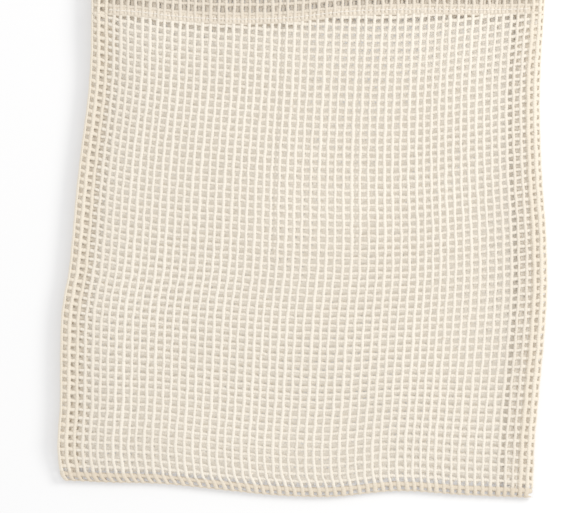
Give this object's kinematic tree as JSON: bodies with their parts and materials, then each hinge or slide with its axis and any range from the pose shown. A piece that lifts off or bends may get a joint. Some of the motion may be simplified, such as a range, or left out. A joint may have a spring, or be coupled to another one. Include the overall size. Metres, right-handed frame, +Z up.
{
  "type": "mesh laundry bag",
  "caption": "Flat drawstring bag of knitted cotton net with turned side seams, a folded bottom and a casing round its mouth.",
  "frame": {"origin": "centre of the overall box, on the plane that the bag lies on", "axes": "+X across the bag, +Y from the closed bottom towards the mouth, +Z up through the bag's thickness"},
  "size_m": [0.2546, 0.287, 0.0097],
  "materials": {
    "net": "undyed knitted cotton net",
    "seam_net": "undyed cotton net in several plies",
    "casing_net": "undyed cotton net, doubled",
    "thread": "cotton sewing thread"
  },
  "bodies": {
    "bag": {"back_casing_fold": "casing_net", "back_casing_hem": "casing_net", "back_casing_lining": "casing_net", "back_casing_stitching": "thread", "back_net": "net", "bottom_fold": "net", "front_casing_fold_left": "casing_net", "front_casing_fold_right": "casing_net", "front_casing_hem_left": "casing_net", "front_casing_hem_right": "casing_net", "front_casing_lining_left": "casing_net", "front_casing_lining_right": "casing_net", "front_casing_stitching_left": "thread", "front_casing_stitching_right": "thread", "front_net_left_margin": "net", "front_net_lower": "net", "front_net_right_margin": "net", "left_back_allowance": "seam_net", "left_back_edge_turn": "seam_net", "left_bar_tack": "thread", "left_corner_tuck": "seam_net", "left_front_allowance": "seam_net", "left_front_edge_turn": "seam_net", "left_overlocking": "thread", "left_safety_stitching": "thread", "left_seam_stitching": "thread", "right_back_allowance": "seam_net", "right_back_edge_turn": "seam_net", "right_bar_tack": "thread", "right_corner_tuck": "seam_net", "right_front_allowance": "seam_net", "right_front_edge_turn": "seam_net", "right_overlocking": "thread", "right_safety_stitching": "thread", "right_seam_stitching": "thread"},
    "mouth_front": {"front_casing_fold_middle": "casing_net", "front_casing_hem_middle": "casing_net", "front_casing_lining_middle": "casing_net", "front_casing_stitching_middle": "thread", "front_net_mouth": "net"}
  },
  "joints": [
    {"name": "mouth_open", "type": "hinge", "parent": "bag", "child": "mouth_front", "pos_m": [0, -0.005, 0.0094], "axis": [1, 0, 0], "range_deg": [0, 18]}
  ]
}
